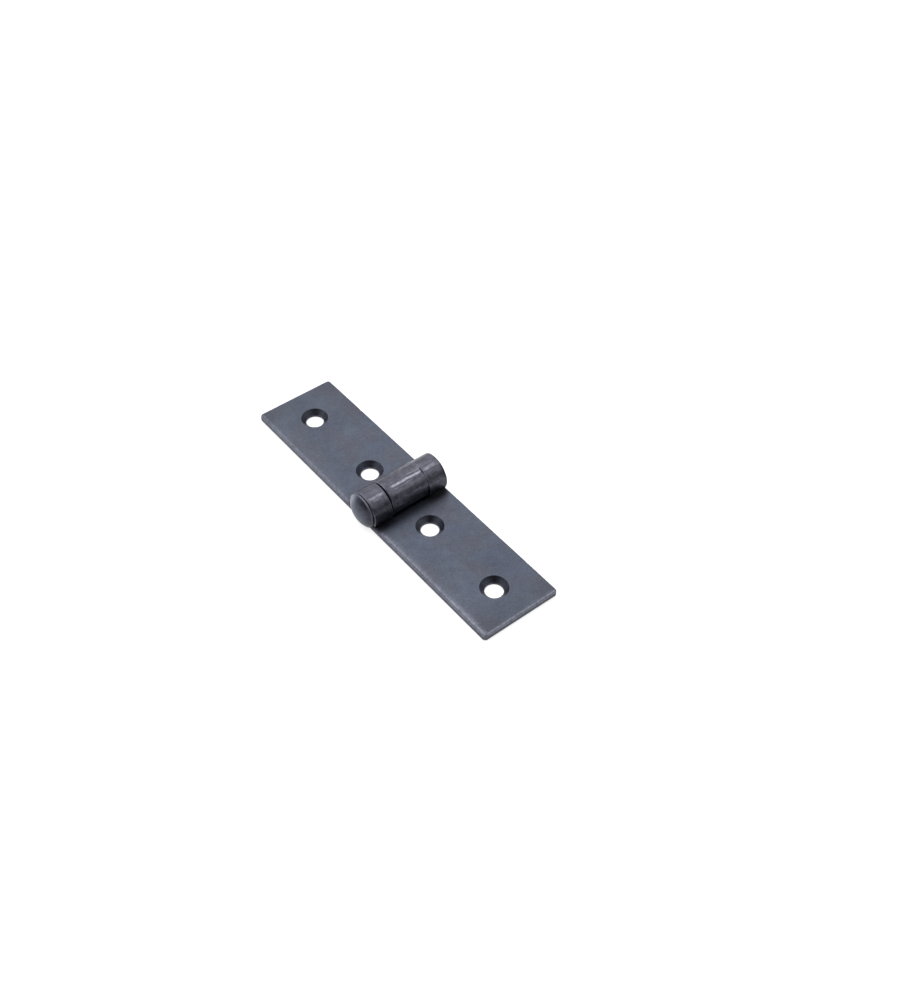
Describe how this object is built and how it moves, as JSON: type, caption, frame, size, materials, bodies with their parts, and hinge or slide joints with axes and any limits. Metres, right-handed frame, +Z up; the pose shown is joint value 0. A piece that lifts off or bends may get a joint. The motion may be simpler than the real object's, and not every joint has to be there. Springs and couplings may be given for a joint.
{
  "type": "strap hinge",
  "caption": "Small steel strap hinge with narrow flush leaves, rolled knuckles on a dome-headed pin, and countersunk screw holes; it folds from flat to closed.",
  "frame": {"origin": "centre of the open hinge's footprint on the surface it lies on: y = 0 is straight under the pin's axis, and x = 0 is the middle of the length over the pin's head, so the middle of the leaves is at x = +1.35 mm", "axes": "+Z up, away from the fixing surface, on the side where the barrel stands; X along the pin, with the pin's domed head at -X; +Y along the leaf with the centre knuckle, -Y along the leaf with the two outer knuckles"},
  "size_m": [0.0282, 0.1066, 0.0108],
  "materials": {
    "leaf_steel": "dark blue-grey pewter patina on steel, satin",
    "pin_steel": "dark grey patina on turned steel, satin"
  },
  "bodies": {
    "outer_leaf": {"leaf_two_knuckles": "leaf_steel", "hinge_pin": "pin_steel"},
    "centre_leaf": {"leaf_centre_knuckle": "leaf_steel"}
  },
  "joints": [
    {"name": "leaf_fold", "type": "hinge", "parent": "outer_leaf", "child": "centre_leaf", "pos_m": [0.00135, 0, 0.0054], "axis": [1, 0, 0], "range_deg": [0, 186.5]}
  ]
}
